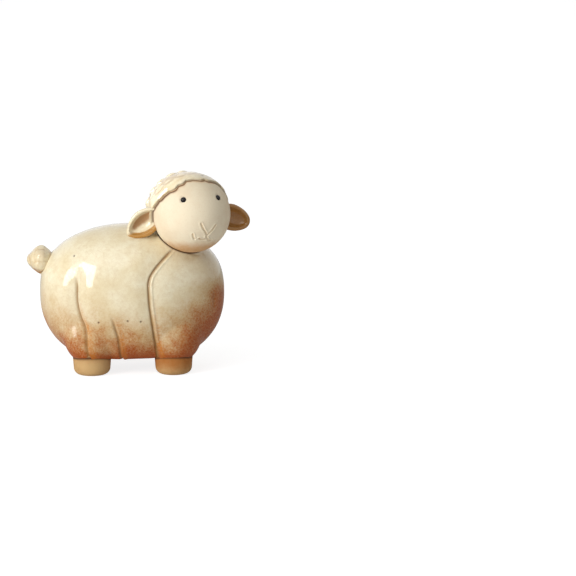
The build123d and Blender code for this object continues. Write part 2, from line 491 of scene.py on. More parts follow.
def through(start, way, middle, halves):
    """How far a ray goes before it enters and leaves an ellipsoid, or None if it misses."""
    offset = Vector([value / half for value, half in zip(start - middle, halves)])
    scaled = Vector([value / half for value, half in zip(way, halves)])
    square = scaled.dot(scaled)
    slope = offset.dot(scaled)
    spread = slope * slope - square * (offset.dot(offset) - 1)
    if spread < 0:
        return None
    return (-slope - sqrt(spread)) / square, (-slope + sqrt(spread)) / square


def fine_ball(fineness, middle=Vector(), form=lambda way: 1):
    """A ball of even triangles round a middle, moved out to a form's reach."""
    mesh = bmesh.new()
    bmesh.ops.create_icosphere(mesh, subdivisions=fineness, radius=1)
    for vertex in mesh.verts:
        way = vertex.co.normalized()
        vertex.co = middle + way * form(way)
    return mesh


def refine(mesh, wanted):
    """Splits the edges whose middles pass a test, and keeps to triangles."""
    edges = [edge for edge in mesh.edges if wanted((edge.verts[0].co + edge.verts[1].co) / 2)]
    bmesh.ops.subdivide_edges(mesh, edges=edges, cuts=1)
    bmesh.ops.triangulate(mesh, faces=mesh.faces)


def layers(mesh, *names):
    """Gives each point of a mesh some numbers, for its finish to read."""
    return [mesh.verts.layers.float.new(name) for name in names]


def finished(name, mesh, finish):
    """Makes an object from a mesh and its finish."""
    data = bpy.data.meshes.new(name)
    mesh.to_mesh(data)
    mesh.free()
    data.materials.append(finish)
    return add_object(name, data)


def dressed(name, mesh, finish, slot, *nodes):
    """Makes a smooth piece of the figurine, in the place of its solid."""
    piece = finished(name, mesh, finish)
    piece.data.shade_smooth()
    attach(piece, "root")
    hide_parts(*nodes)
    print(name, "has", len(piece.data.polygons), "faces")
    return piece


# %% [markdown]
# ## The body's form
# Seen level by level the body is an oval.  Seen upwards it is fuller than an ellipse, by a power
# above 2.  Four swellings stand over the feet, the belly is flat, and the head is let into a seat
# at the top front, with a low lip of glaze round it.

# %% The body's reach
BACK_POWER = 2.2
BELLY_POWER = 2.5
SWELLING_HALVES = (15 * MM, 13 * MM, 16 * MM)
SWELLING_ABOVE_BELLY = 12.7 * MM
SWELLING_BLEND = 3 * MM
BELLY_ROUNDING = 1.6 * MM
FEET = ["front_left_foot", "front_right_foot", "rear_left_foot", "rear_right_foot"]
SWELLING_LEVEL = BELLY_HEIGHT + SWELLING_ABOVE_BELLY
SWELLINGS = [Vector((*middle_of(foot).xy, SWELLING_LEVEL)) for foot in FEET]


def body_reach(way):
    """How far the body's skin lies from its middle, before folds and seat."""
    level = hypot(way.x / HALF_LENGTH, way.y / HALF_WIDTH)
    rise, power = (BACK_RISE, BACK_POWER) if way.z > 0 else (BELLY_DEPTH, BELLY_POWER)
    reach = (level**power + abs(way.z / rise) ** power) ** (-1 / power)
    if way.z < 0:
        for swelling in SWELLINGS:
            crossed = through(BODY_MIDDLE, way, swelling, SWELLING_HALVES)
            if crossed:
                reach = soft_larger(reach, crossed[1], SWELLING_BLEND)
        to_belly = (WAIST_HEIGHT - BELLY_HEIGHT) / -way.z
        reach = soft_smaller(reach, to_belly, BELLY_ROUNDING)
    return reach


HEAD_START = HEAD_INVERSE @ BODY_MIDDLE
HEAD_WAYS = HEAD_INVERSE.to_3x3()


def before_hairline(spot):
    """How far a point in the head's frame lies before the plane where the wool stops."""
    return (spot - HAIRLINE_SPOT).dot(HAIRLINE_WAY)


def reach_to_head(way):
    """How far a ray from the body's middle goes before it meets the head."""
    way = HEAD_WAYS @ way
    wool = through(HEAD_START, way, WOOL_MIDDLE, WOOL_HALVES)
    if wool and wool[0] > 0 and before_hairline(HEAD_START + way * wool[0]) < 0:
        return wool[0]
    face = through(HEAD_START, way, Vector(), (FACE_RADIUS,) * 3)
    return face[0] if face and face[0] > 0 else inf


TAIL_LOW, TAIL_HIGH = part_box("tail")
TAIL_RADIUS = (TAIL_HIGH.z - TAIL_LOW.z) / 2
TAIL_MIDDLE = Vector((TAIL_LOW.x + TAIL_RADIUS, *middle_of("tail").yz))


def gap_to_head(point):
    """Distance from a point to the head's skin, negative inside it."""
    spot = HEAD_INVERSE @ point
    if before_hairline(spot) > 0:
        return spot.length - FACE_RADIUS
    out = spot - WOOL_MIDDLE
    share = Vector([value / half for value, half in zip(out, WOOL_HALVES)]).length
    return out.length * (1 - 1 / share)


print("swellings:", len(SWELLINGS))

# %% [markdown]
# ## Folds
# The legs are only hinted at, by creases that a modelling tool drew down the flanks: a groove
# with a thin ridge beside it, in a shallow valley.  At the haunches the valley is deepest, which
# forks the highlight on the glaze.  Each crease is laid on the skin through a few points, and a
# search tree tells how far any point of the skin lies beside the nearest crease.

# %% Draw the creases
CREASES = [
    # side, the groove's and the valley's share, how far down the line the groove starts, whether
    # it dies out below too, and (forward of the body's middle, height) of points, in millimetres
    (-1, 1.0, 1.0, 0, False, [(24, 70.5), (17, 64.5), (11.3, 58), (9.3, 53), (9.2, 47), (9.8, 38),
                              (11.4, 26), (12.6, 17), (13.2, 9)]),
    (-1, 0.9, 2.2, 8, False, [(-29.6, 64.5), (-30.4, 60), (-31.2, 51), (-31.2, 41), (-28.8, 31.5),
                               (-26, 21), (-22.4, 9)]),
    (-1, 0.8, 0.8, 0, False, [(-11.4, 36), (-9.8, 29), (-7.6, 19.6), (-5.9, 9)]),
    (-1, 0.35, 0.35, 0, True, [(44.4, 48), (44.0, 41), (43.2, 32)]),
    (-1, 0.4, 0.4, 0, True, [(24.5, 69.3), (28, 67.4), (32, 65.8), (37.6, 64)]),
    (-1, 0.4, 0.4, 0, True, [(-2.5, 74.4), (3, 75.2), (10.9, 76.7)]),
    (1, 0.8, 0.8, 0, False, [(32.7, 63.5), (36, 55), (36.4, 38.5), (35.2, 25.5), (33, 9)]),
    (1, 1.0, 1.0, 0, False, [(22.7, 62.5), (17.7, 54.5), (14.7, 49), (15.2, 43), (16.8, 26.5),
                             (18.5, 9)]),
    (1, 0.8, 0.8, 0, False, [(-13.4, 33.5), (-11.5, 25.5), (-9, 16.5), (-6.5, 9)]),
    (1, 1.0, 1.6, 8, False, [(-34, 66), (-34.8, 60), (-35.2, 47.5), (-35.4, 38.5), (-34.2, 27),
                             (-30, 9)]),
]
SKIN_HALVINGS = 20
CREASE_STEP = 0.3 * MM
CREASE_FADE = 9 * MM
GROOVE_DEPTH = 0.85 * MM
GROOVE_WIDTH = 0.75 * MM
RIDGE_HEIGHT = 0.4 * MM
RIDGE_ASIDE = 1.5 * MM
RIDGE_WIDTH = 0.7 * MM
VALLEY_DEPTH = 1.0 * MM
VALLEY_WIDTH = 5.2 * MM


def skin_point(forward, height, side):
    """The point of the body's skin at one side, a distance forward and at a height."""
    inside, outside = 0, 2 * HALF_WIDTH
    for _ in range(SKIN_HALVINGS):
        aside = (inside + outside) / 2
        out = Vector((forward, side * aside, height - WAIST_HEIGHT))
        if out.length < body_reach(out.normalized()):
            inside = aside
        else:
            outside = aside
    return BODY_MIDDLE + out


def smooth_line(points, step):
    """Points about a step apart on a smooth curve through the given ones."""
    ends = [2 * points[0] - points[1], *points, 2 * points[-1] - points[-2]]
    line = []
    for before, first, second, after in zip(ends, ends[1:], ends[2:], ends[3:]):
        count = max(round((second - first).length / step), 1)
        for number in range(count):
            share = number / count
            bend = 2 * before - 5 * first + 4 * second - after
            twist = 3 * (first - second) + after - before
            line.append(first + (second - before + (bend + twist * share) * share) * (share / 2))
    line.append(points[-1])
    return line


def search_tree(spots):
    """A tree that quickly finds the nearest of some points."""
    tree = kdtree.KDTree(len(spots))
    for number, spot in enumerate(spots):
        tree.insert(spot, number)
    tree.balance()
    return tree


class Creases:
    """Lines on a skin, with a quick search for the nearest and the way across it."""

    def __init__(self):
        self.marks = []

    def draw(self, line, middle, groove=1, valley=0, lead=0, fades=(False, False)):
        """Adds a line on the skin round a middle; fades tells which of its ends die out."""
        length = sum((second - first).length for first, second in zip(line, line[1:]))
        fade = min(CREASE_FADE, length / 2)
        run = 0
        for first, second in zip(line, line[1:]):
            across = (first - middle).cross(second - first).normalized()
            upper = smooth_step(run, lead, lead + fade) if fades[0] else 1
            lower = smooth_step(length - run, 0, fade) if fades[1] else 1
            valley_ends = smooth_step(run, 0, 2 * fade) * smooth_step(length - run, 0, 2 * fade)
            self.marks.append((first, across, groove * upper * lower, valley * valley_ends))
            run += (second - first).length

    def index(self):
        self.tree = search_tree([mark[0] for mark in self.marks])

    def beside(self, point):
        """Distance to the nearest line, how far across it, and the groove's and valley's strength."""
        spot, number, distance = self.tree.find(point)
        _, across, groove, valley = self.marks[number]
        return distance, (point - spot).dot(across), groove, valley


body_creases = Creases()
for side, groove, valley, lead, lower_fades, places in CREASES:
    spots = [skin_point(forward * MM, height * MM, side) for forward, height in places]
    line = smooth_line(spots, CREASE_STEP)
    body_creases.draw(line, BODY_MIDDLE, groove, valley, lead * MM, (True, lower_fades))
body_creases.index()
print("crease marks:", len(body_creases.marks))

# %% [markdown]
# ## The body's skin
# A fine ball is pushed out to the body's reach.  Along the creases and round the head's seat it
# is split finer first, so that a groove under a millimetre wide is still round.  The same pass
# tells each point how deep the glaze pools there, and where it is rusty.

# %% Model the body
SEAT_GAP = 0.15 * MM
SEAT_ROUNDING = 0.7 * MM
LIP_HEIGHT = 0.6 * MM
LIP_WIDTH = 1.6 * MM
TAIL_LIP_HEIGHT = 0.5 * MM
TAIL_LIP_WIDTH = 0.8 * MM
SEAM_WIDTH = 0.55 * MM
RUST_ASIDE = 2.2 * MM
RUST_WIDTH = 1.2 * MM
# the chest's share is partly kiln flashing and partly painted shade; the rump's is flashing
CHEST_FLASH_AND_SHADE, RUMP_FLASH = (0.35, 1.1), (0.5, 1)
RUMP_SHARE = 0.25
VALLEY_REACH = 2.5 * VALLEY_WIDTH
SPLIT_WIDTHS = (2.6 * MM, 1.3 * MM)
HAND_WOBBLE = 0.25 * MM
WOBBLE_SIZE = 14 * MM
VENT_RADIUS = 4 * MM
VENT_DEPTH = 7 * MM
PITS = [(-1, -2.5, 32), (-1, 4.6, 31.5), (-1, -30.8, 65.5), (-1, -18, 31), (1, 6, 52), (1, -22, 40)]
PIT_RADIUS = 0.5 * MM
PIT_DEPTH = 0.35 * MM


def crease_relief(across, groove, valley):
    """How far the skin rises at a distance across a crease of a given strength."""
    ridge = RIDGE_HEIGHT * hump(across - RIDGE_ASIDE, RIDGE_WIDTH)
    ridge -= GROOVE_DEPTH * hump(across, GROOVE_WIDTH)
    return groove * ridge - valley * VALLEY_DEPTH * hump(across, VALLEY_WIDTH)


def vent_offset(point):
    """How far outside the vent's rim a point of the belly lies."""
    if point.z > BELLY_HEIGHT + BELLY_ROUNDING:
        return inf
    return hypot(point.x - BODY_MIDDLE.x, point.y - BODY_MIDDLE.y) - VENT_RADIUS


pits = [skin_point(forward * MM, height * MM, side) for side, forward, height in PITS]


def near_pit(point, width):
    """1 in the middle of a pinhole, falling off to 0 over its width."""
    return max(hump((point - pit).length, width) for pit in pits)


def model_body():
    mesh = fine_ball(7, BODY_MIDDLE, body_reach)
    for width in SPLIT_WIDTHS:
        refine(
            mesh,
            lambda spot: body_creases.beside(spot)[0] < width
            or abs(gap_to_head(spot)) < width / 2
            or abs(vent_offset(spot)) < width / 2
            or near_pit(spot, width) > 0.5,
        )
    pooled, rusty, flash_and_shade, seam = layers(mesh, "pooled", "rusty", "flash_and_shade", "seam")
    for vertex in mesh.verts:
        way = (vertex.co - BODY_MIDDLE).normalized()
        reach = body_reach(way)
        point = BODY_MIDDLE + way * reach
        distance, across, groove, valley = body_creases.beside(point)
        if distance < VALLEY_REACH:
            near_end = hump(sqrt(max(distance**2 - across**2, 0)), VALLEY_WIDTH)
            reach += near_end * crease_relief(across, groove, valley)
            vertex[pooled] = near_end * groove * hump(across, GROOVE_WIDTH)
            vertex[rusty] = near_end * groove * hump(across - RUST_ASIDE, RUST_WIDTH)
        reach += HAND_WOBBLE * noise.noise(point / WOBBLE_SIZE)
        gap = gap_to_head(point)
        reach += LIP_HEIGHT * hump(max(gap, 0), LIP_WIDTH)
        to_tail = (point - TAIL_MIDDLE).length - TAIL_RADIUS
        reach += TAIL_LIP_HEIGHT * hump(to_tail, TAIL_LIP_WIDTH)
        reach = soft_smaller(reach, reach_to_head(way) - SEAT_GAP, SEAT_ROUNDING)
        pit = near_pit(point, PIT_RADIUS)
        vertex.co = BODY_MIDDLE + way * (reach - PIT_DEPTH * pit)
        # chest end: kiln flashing with painted shade; rump end: kiln flashing
        end_share = (vertex.co.x - BODY_MIDDLE.x) / HALF_LENGTH
        rump = RUMP_SHARE * smooth_step(-end_share, *RUMP_FLASH)
        vertex[flash_and_shade] = max(smooth_step(end_share, *CHEST_FLASH_AND_SHADE), rump)
        vertex[seam] = max(hump(gap_to_head(vertex.co) - SEAM_WIDTH / 2, SEAM_WIDTH), pit)
        if vent_offset(vertex.co) < 0:
            vertex.co.z += VENT_DEPTH
    return mesh


dressed("body", model_body(), CREAM_GLAZE, "cream_glaze", "body_shell")

# %% [markdown]
# ## The woolly head
# The wool is a long ball behind the face.  Its front edge laps over the face in shallow scallops.
# Before that edge the ball dives under the face, so the lap has a real, rounded thickness.  The
# recesses between the curls are marked for the glaze.

# %% Find the curls on their solids
CURL_NODES = {"fringe": "fringe_curls", "crown": "crown_curls", "back": "back_curls"}
WELD = 0.001 * MM


def lumps_of(node):
    """The middle of each separate lump of a solid, in the head's frame."""
    mesh = bmesh.new()
    mesh.from_mesh(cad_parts[node].data)
    bmesh.ops.remove_doubles(mesh, verts=mesh.verts, dist=WELD)
    left = set(mesh.verts)
    middles = []
    while left:
        lump, front = set(), {left.pop()}
        while front:
            lump |= front
            front = {edge.other_vert(vertex) for vertex in front for edge in vertex.link_edges}
            front -= lump
        left -= lump
        spots = [vertex.co for vertex in lump]
        low, high = (Vector([*map(pick, zip(*spots))]) for pick in (min, max))
        middles.append(HEAD_INVERSE @ ((low + high) / 2))
    mesh.free()
    return sorted(middles, key=lambda spot: tuple(round(value / MM, 2) for value in spot))


curl_spots = {name: lumps_of(node) for name, node in CURL_NODES.items()}
all_spots = sum(curl_spots.values(), [])
curl_tree = search_tree(all_spots)
print("curls:", len(all_spots))

# %% Model the wool
HAIRLINE = [
    # turn round the head from its top towards its left in degrees, millimetres before the plane
    (-180, 0), (-105, 0), (-85, -0.8), (-74, 1.0), (-65, 2.8), (-58, 3.8), (-50, 5.2), (-43, 5.4),
    (-38, 6.6), (-34, 7.0), (-28, 6.2), (-20, 5.9), (-13, 4.7), (-6, 4.6), (0, 5.3), (6, 6.1),
    (13, 5.5), (21, 5.4), (30, 3.8), (42, 2.0), (51, 2.6), (60, 1.2), (72, 1.1), (85, -0.6), (105, 0),
    (180, 0),
]
SCALLOPS = 20
SCALLOP_DEPTH = 0.6 * MM
SCALLOP_RATE, SCALLOP_SHIFT = 3, 3
WOOL_THICK = 0.9 * MM
WOOL_LAP = 1.1 * MM
WOOL_UNDER_FACE = 1.0 * MM
WOOL_BLEND = 2 * MM
WOOL_SEAM_ASIDE, WOOL_SEAM_WIDTH = 0.25 * WOOL_LAP, 0.32 * WOOL_LAP
WOOL_WOBBLE_SIZE = 8 * MM
CURL_RADIUS = 3.35 * MM
RECESS_FROM, RECESS_SHARE = 5.0 * MM, 0.8
WOOL_PIT = Vector((4.4 * MM, 5.0 * MM, 21.3 * MM))
WOOL_PIT_RADIUS = 0.8 * MM


def wool_form(way):
    """The wool's reach from its middle in a direction of the head's frame."""
    reach = through(WOOL_MIDDLE, way, WOOL_MIDDLE, WOOL_HALVES)[1]
    over_face = through(WOOL_MIDDLE, way, Vector(), (FACE_RADIUS + WOOL_THICK,) * 3)[1]
    return soft_larger(reach, over_face, WOOL_BLEND)


def hairline(turn):
    """How far before its plane the wool's edge lies at a turn round the head."""
    turn = max(min(turn, 179.9), -179.9)
    for (low, first), (high, second) in zip(HAIRLINE, HAIRLINE[1:]):
        if low <= turn <= high:
            return (first + (second - first) * (turn - low) / (high - low)) * MM


def past_hairline(spot):
    """How far a point in the head's frame lies before the wool's scalloped edge."""
    out = spot - HAIRLINE_SPOT
    turn = atan2(out.y, out.dot(HAIRLINE_UP))
    uneven = noise.noise(Vector((cos(turn), sin(turn), 0)) * SCALLOP_RATE)
    lobe = abs(cos(SCALLOPS / 2 * turn + SCALLOP_SHIFT * uneven)) * (1 + uneven)
    return before_hairline(spot) - hairline(degrees(turn)) - SCALLOP_DEPTH * lobe


def model_wool():
    mesh = fine_ball(7, WOOL_MIDDLE, wool_form)
    refine(mesh, lambda spot: abs(past_hairline(spot)) < WOOL_LAP)
    recess, seam = layers(mesh, "recess", "seam")
    for vertex in mesh.verts:
        way = (vertex.co - WOOL_MIDDLE).normalized()
        reach = wool_form(way)
        spot = WOOL_MIDDLE + way * reach
        past_edge = past_hairline(spot)
        under = through(WOOL_MIDDLE, way, Vector(), (FACE_RADIUS,) * 3)[1] - WOOL_UNDER_FACE
        lapped = smooth_step(past_edge, -WOOL_LAP / 2, WOOL_LAP / 2)
        reach += (under - reach) * lapped
        reach += HAND_WOBBLE * noise.noise(spot / WOOL_WOBBLE_SIZE)
        pit = hump((spot - WOOL_PIT).length, WOOL_PIT_RADIUS)
        vertex[seam] = max(hump(past_edge - WOOL_SEAM_ASIDE, WOOL_SEAM_WIDTH), pit)
        nearest = curl_tree.find(spot)[2]
        vertex[recess] = RECESS_SHARE * smooth_step(nearest, RECESS_FROM, CURL_RADIUS)
        vertex.co = WOOL_MIDDLE + way * (reach - PIT_DEPTH * pit)
    bmesh.ops.transform(mesh, matrix=HEAD_PLACE, verts=mesh.verts)
    return mesh


wool = dressed("wool", model_wool(), WOOL_GLAZE, "cream_glaze", "head_shell")

# %% [markdown]
# ## Curls
# Every curl is a small ball whose upper half is given a bell shape and whose lower half is sunk
# just under the wool.  Its points are laid on the wool's own reach, so that its skirt hugs the
# head.  The curls near the face are pressed flat, those behind stand up.

# %% Model the curls
CURL_SUNK = 0.5 * MM
CURL_LET_IN = 0.05 * MM
FLAT_CURL, FULL_CURL = 0.12 * MM, 1.3 * MM
FLAT_POWER, FULL_POWER = 1.5, 0.75
FLAT_UP_TO, FULL_FROM = 6 * MM, 19 * MM
CURL_UNEVEN = 0.10
CURL_SHIFT = 0.02
CURL_HEIGHT_SHARES = (0.85, 1.1)
CURL_SKIRT = (0.55, 1.0)


def model_curls(spots, luck):
    mesh = bmesh.new()
    recess = mesh.verts.layers.float.new("recess")
    for spot in spots:
        outward = (spot - WOOL_MIDDLE).normalized()
        aside = outward.orthogonal().normalized()
        along = outward.cross(aside)
        turn = Matrix.Rotation(luck.uniform(0, pi), 3, outward)
        wide = turn @ aside * CURL_RADIUS * (1 + luck.uniform(-CURL_UNEVEN, CURL_UNEVEN))
        long = turn @ along * CURL_RADIUS * (1 + luck.uniform(-CURL_UNEVEN, 2 * CURL_UNEVEN))
        outward += aside * luck.gauss(0, CURL_SHIFT) + along * luck.gauss(0, CURL_SHIFT)
        outward.normalize()
        behind = smooth_step(-before_hairline(spot), FLAT_UP_TO, FULL_FROM)
        power = FLAT_POWER + (FULL_POWER - FLAT_POWER) * behind
        tall = FLAT_CURL + (FULL_CURL - FLAT_CURL) * behind
        tall *= luck.uniform(*CURL_HEIGHT_SHARES)
        middle = (spot - WOOL_MIDDLE).length
        ball = bmesh.ops.create_uvsphere(mesh, u_segments=24, v_segments=14, radius=1)
        for vertex in ball["verts"]:
            way = (outward * middle + wide * vertex.co.x + long * vertex.co.y).normalized()
            from_top = vertex.co.x**2 + vertex.co.y**2
            height = CURL_SUNK * min(vertex.co.z, 0) - CURL_LET_IN
            if vertex.co.z > 0:
                height += tall * max(1 - from_top, 0) ** power
            vertex[recess] = smooth_step(from_top, *CURL_SKIRT)
            vertex.co = WOOL_MIDDLE + way * (wool_form(way) + height)
    bmesh.ops.transform(mesh, matrix=HEAD_PLACE, verts=mesh.verts)
    return mesh


luck = random.Random(5)
curl_skins = []
for name, node in CURL_NODES.items():
    mesh = model_curls(curl_spots[name], luck)
    curl_skins.append(dressed(name + "_curls_skin", mesh, WOOL_GLAZE, "cream_glaze", node))

# %% [markdown]
# ## The face
# The face is part of a ball, with a dent for each eye and the nose and mouth drawn in with a
# point.  The lines are given by distances to the sheep's left and upwards from its middle.

# %% Model the face
FACE_LINES = [
    [(-1.9, -2.3), (-0.5, -5.1), (1.5, -8.0)],
    [(6.7, -3.7), (4.5, -6.6), (2.1, -9.0)],
    [(1.6, -8.0), (1.8, -9.6), (1.7, -11.4)],
    [(1.7, -11.4), (-0.6, -11.3), (-2.2, -10.6)],
    [(2.2, -10.4), (3.0, -11.6), (4.4, -12.3), (5.5, -12.2)],
    [(-5.8, -8.1), (-5.3, -9.6), (-4.4, -10.9)],
]
FACE_GROOVE_DEPTH = 0.5 * MM
FACE_GROOVE_WIDTH = 0.45 * MM
FACE_BURR = 0.24 * MM
FACE_STEP = 0.15 * MM
FACE_SPLIT_WIDTH = 1.2 * MM
EYE_DENT_RADIUS, EYE_DENT_FLOOR = 2.3 * MM, 1.38 * MM
EYE_DENT_DEPTH = 0.45 * MM
FACE_BEHIND = 2.5 * MM
FACE_WOBBLE, FACE_WOBBLE_SIZE = 0.12 * MM, 9 * MM
FACE_SEAM_WIDTH, SEAM_WIDENING = 0.4 * MM, 1.5
EDGE_BLUSH, EDGE_BLUSH_WIDTH = 0.75, 2.4 * MM
# painted shade on the face's side at the sheep's left, the side turned from the key lamp
CHEEK_SHADE, CHEEK_SHADE_SPAN = 0.4, (0, 18 * MM)
CHIN_BLUSH, CHIN_SPAN = 0.95, (-9 * MM, -18 * MM)
DRAWN_BLUSH = 0.5

face_lines = Creases()
for places in FACE_LINES:
    spots = []
    for left, up in places:
        ahead = sqrt(FACE_RADIUS**2 - (left * MM) ** 2 - (up * MM) ** 2)
        spots.append(Vector((ahead, left * MM, up * MM)))
    face_lines.draw(smooth_line(spots, FACE_STEP), Vector())
face_lines.index()


def model_face():
    mesh = fine_ball(7, Vector(), lambda way: FACE_RADIUS)
    bmesh.ops.bisect_plane(
        mesh,
        geom=[*mesh.verts, *mesh.edges, *mesh.faces],
        plane_co=HAIRLINE_SPOT - HAIRLINE_WAY * FACE_BEHIND,
        plane_no=HAIRLINE_WAY,
        clear_inner=True,
    )
    refine(mesh, lambda spot: face_lines.beside(spot)[0] < FACE_SPLIT_WIDTH)
    blush_and_shade, seam = layers(mesh, "blush_and_shade", "seam")
    eyes = [HEAD_INVERSE @ LEFT_EYE, HEAD_INVERSE @ RIGHT_EYE]
    for vertex in mesh.verts:
        way = vertex.co.normalized()
        spot = way * FACE_RADIUS
        beside = face_lines.beside(spot)[0]
        rise = FACE_BURR * hump(beside - 2 * FACE_GROOVE_WIDTH, FACE_GROOVE_WIDTH)
        rise -= FACE_GROOVE_DEPTH * hump(beside, FACE_GROOVE_WIDTH)
        for eye in eyes:
            away = (spot - eye.normalized() * FACE_RADIUS).length
            rise -= EYE_DENT_DEPTH * smooth_step(away, EYE_DENT_RADIUS, EYE_DENT_FLOOR)
        rise += FACE_WOBBLE * noise.noise(spot / FACE_WOBBLE_SIZE)
        past_edge = past_hairline(spot)
        edge = EDGE_BLUSH * hump(max(past_edge, 0), EDGE_BLUSH_WIDTH)
        # painted shade on the face's side at the sheep's left
        cheek_shade = CHEEK_SHADE * smooth_step(spot.y, *CHEEK_SHADE_SPAN)
        chin = CHIN_BLUSH * smooth_step(spot.z, *CHIN_SPAN)
        vertex[blush_and_shade] = max(edge, cheek_shade, chin, DRAWN_BLUSH * hump(beside, FACE_GROOVE_WIDTH))
        seam_width = FACE_SEAM_WIDTH * (1 + SEAM_WIDENING * (spot.y / FACE_RADIUS) ** 2)
        vertex[seam] = hump(past_edge - seam_width, seam_width)
        vertex.co = way * (FACE_RADIUS + rise)
    rim = [edge for edge in mesh.edges if edge.is_boundary]
    bmesh.ops.holes_fill(mesh, edges=rim)
    bmesh.ops.transform(mesh, matrix=HEAD_PLACE, verts=mesh.verts)
    return mesh


dressed("face", model_face(), FACE_FINISH, "bare_clay", "face_mask")

# %% [markdown]
# ## Eyes
# Each eye is a drop of black glaze that stands a little proud of its dent, so a whole ball is sunk
# there, fine enough to keep its small highlight round.

# %% Set the eyes
EYE_RADIUS = (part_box("left_eye")[1].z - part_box("left_eye")[0].z) / 2

for node, middle in (("left_eye", LEFT_EYE), ("right_eye", RIGHT_EYE)):
    mesh = fine_ball(5, middle, lambda way: EYE_RADIUS)
    dressed(node + "_bead", mesh, EYE_FINISH, "black_glaze", node)

# %% [markdown]
# ## Ears
# An ear is a cupped leaf: an ellipsoid whose front is pressed in to a bowl, so that a rounded lip
# stays all round.  It narrows to its tip and to its root.  A few rounds of smoothing take the
# sharp edges off.  The right ear hangs against the back, the left one stands out.  The upper
# part of each bowl is marked for painted shade under its rim, and the left ear's whole front
# for browner glaze with painted shade.

# %% Model the ears
EAR_REACH = 12 * MM
EAR_HALF_HEIGHT = 7.2 * MM
EAR_HALF_DEPTH = 5.0 * MM
EAR_LIP = 1.2 * MM
EAR_BOWL_DEPTH = 4.3 * MM
BOWL_LENGTH_SHARE = 0.83
BOWL_HEIGHT_SHARE = 0.70
BOWL_EDGE_SHARE = 0.5
ROOT_TAPER = 0.45
EAR_ROOT = Vector((-5.2 * MM, WOOL_RADIUS + 2.7 * MM, -4.0 * MM))
LIP_BEHIND = -0.2
LIP_SPAN, LOW_SPAN, ROOT_SPAN = (0.75, 0.95), (0.3, -0.4), (-0.85, -0.3)
BOWL_SPAN, HIGH_SPAN = (1.0, 0.7), (-0.25, 0.25)
EAR_SMOOTHINGS = 8
EAR_WOBBLE_SIZE = 5 * MM


def model_ear(side, droop, sweep, taper, browned_and_shaded):
    mesh = fine_ball(6)
    lip, hollow_shade = layers(mesh, "lip", "hollow_shade")
    for vertex in mesh.verts:
        ahead, out, up = vertex.co.x, side * vertex.co.y, vertex.co.z
        bowl = hypot(out / BOWL_LENGTH_SHARE, up / BOWL_HEIGHT_SHARE)
        depth = EAR_HALF_DEPTH * ahead
        if ahead > 0 and bowl < 1:
            depth = EAR_LIP - EAR_BOWL_DEPTH * sqrt(1 - bowl**2)
        elif ahead > 0:
            depth = EAR_LIP * sqrt(min(ahead / BOWL_EDGE_SHARE, 1))
        slim = 1 - taper * max(out, 0) ** 2 - ROOT_TAPER * max(-out, 0) ** 2
        if ahead > LIP_BEHIND:
            low_lip = smooth_step(bowl, *LIP_SPAN) * smooth_step(up, *LOW_SPAN)
            low_lip *= smooth_step(out, *ROOT_SPAN)
            vertex[lip] = max(low_lip, browned_and_shaded)
        # the upper part of the bowl gets painted shade in brown; on the left ear the whole front gets
        # it
        if ahead > 0:
            shaded = smooth_step(bowl, *BOWL_SPAN) * smooth_step(up, *HIGH_SPAN)
            vertex[hollow_shade] = max(shaded, browned_and_shaded)
        vertex.co = (depth, side * out * EAR_REACH, up * EAR_HALF_HEIGHT * slim)
    for _ in range(EAR_SMOOTHINGS):
        bmesh.ops.smooth_vert(
            mesh, verts=mesh.verts, factor=0.5, use_axis_x=True, use_axis_y=True, use_axis_z=True
        )
    for vertex in mesh.verts:
        vertex.co += vertex.normal * HAND_WOBBLE * noise.noise(vertex.co / EAR_WOBBLE_SIZE)
    place = (
        HEAD_PLACE
        @ Matrix.Translation(EAR_ROOT * Vector((1, side, 1)))
        @ Matrix.Rotation(side * radians(sweep), 4, "Z")
        @ Matrix.Rotation(-side * radians(droop), 4, "X")
    )
    bmesh.ops.transform(mesh, matrix=place, verts=mesh.verts)
    return mesh


# the left ear's front is browner glaze with painted shade; the right ear's has only its amber lip
dressed("left_ear_skin", model_ear(1, 20, 7, 0.08, 0.7), AMBER_GLAZE, "amber_glaze", "left_ear")
dressed("right_ear_skin", model_ear(-1, 37, 28, 0.25, 0), AMBER_GLAZE, "amber_glaze", "right_ear")

# %% [markdown]
# ## Tail
# The tail is a knot of wool: a core with a ring of knobs round it and more behind, all but buried
# in glaze.  It takes its reach from many balls run together, and marks where two of them meet,
# since the glaze pools there.

# %% Model the tail
TAIL_KNOB = 3.3 * MM
TAIL_BLEND = 1.6 * MM
TAIL_CORE = (5.6 * MM, 6.4 * MM, 5.6 * MM)
KNOB_SHARE = 0.8
GLAZED_CORE_SHARE = 1.2
RING_KNOBS = 6
TAIL_GROOVE = 1.5 * MM
TAIL_WOBBLE_RATE = 3
GROOVE_LIP, LEAST_LIP = 0.38, 0.25
UNDERSIDE = (-0.2, -1)


def tail_knobs():
    """The middles of the tail's knobs, from the middle of its core."""
    back, wide, high = (half * KNOB_SHARE for half in TAIL_CORE)
    spots = [Vector((-back, 0, 0))]
    for number in range(RING_KNOBS):
        turn = 2 * pi / RING_KNOBS * number
        spots.append(Vector((0, wide * sin(turn), high * cos(turn))))
        if number % 2:
            spots.append((spots[0] + spots[-1]) / 2)
    return spots


